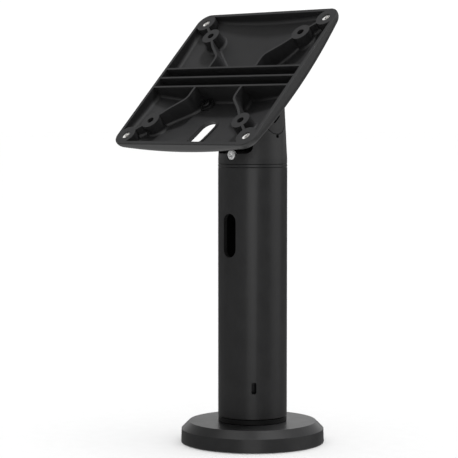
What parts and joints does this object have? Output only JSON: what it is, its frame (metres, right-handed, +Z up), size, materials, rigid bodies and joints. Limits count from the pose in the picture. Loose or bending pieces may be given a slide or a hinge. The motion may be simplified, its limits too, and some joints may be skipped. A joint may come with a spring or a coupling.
{
  "type": "pos touchscreen terminal stand",
  "caption": "Counter-top stand for a touchscreen point-of-sale terminal: screw-down round base, swivelling cable tube and a tilting square VESA tray.",
  "frame": {"origin": "centre of the base's underside, where the stand meets the counter", "axes": "+Z up along the tube and the swivel axis, -Y is the front that the tray faces, +X is to the right seen from the front and along the tilt axis"},
  "size_m": [0.1158, 0.1102, 0.2674],
  "materials": {
    "black_powder_coat": "satin powder coat",
    "black_die_cast": "satin painted die casting",
    "black_plastic": "fine spark-eroded moulded texture",
    "black_acetal": "turned black acetal",
    "black_rubber": "matt",
    "black_steel": "black oxide",
    "zinc_steel": "zinc plated",
    "spring_steel": "phosphated spring steel",
    "bright_steel": "bright nickel plated",
    "nickel_insert": "nickel plated",
    "black_aluminium": "black anodised"
  },
  "bodies": {
    "base": {"base_pad": "black_rubber", "base_flange": "zinc_steel", "base_cover": "black_powder_coat", "cover_screws": "black_steel", "swivel_spindle": "black_steel", "spindle_screws": "black_steel", "glide_ring": "black_acetal", "wave_washer": "spring_steel", "retaining_ring": "spring_steel"},
    "column": {"column_tube": "black_powder_coat", "lower_bush": "black_acetal", "upper_bush": "black_acetal", "stop_pin": "spring_steel", "tube_core": "black_aluminium", "core_screws": "black_steel", "neck_ring": "black_acetal", "tilt_head": "black_die_cast", "head_screws": "bright_steel", "pivot_pins": "bright_steel", "pivot_caps": "black_plastic", "disc_springs": "spring_steel", "pin_clips": "spring_steel"},
    "tray": {"vesa_tray": "black_plastic", "thread_inserts": "nickel_insert", "tilt_yoke": "black_die_cast", "yoke_screws": "black_steel", "tilt_bushes": "black_acetal"}
  },
  "joints": [
    {"name": "column_swivel", "type": "hinge", "parent": "base", "child": "column", "pos_m": [0, 0, 0.04], "axis": [0, 0, 1], "range_deg": [-170, 170]},
    {"name": "tray_tilt", "type": "hinge", "parent": "column", "child": "tray", "pos_m": [0, 0, 0.2009], "axis": [1, 0, 0], "range_deg": [-35, 35]}
  ]
}
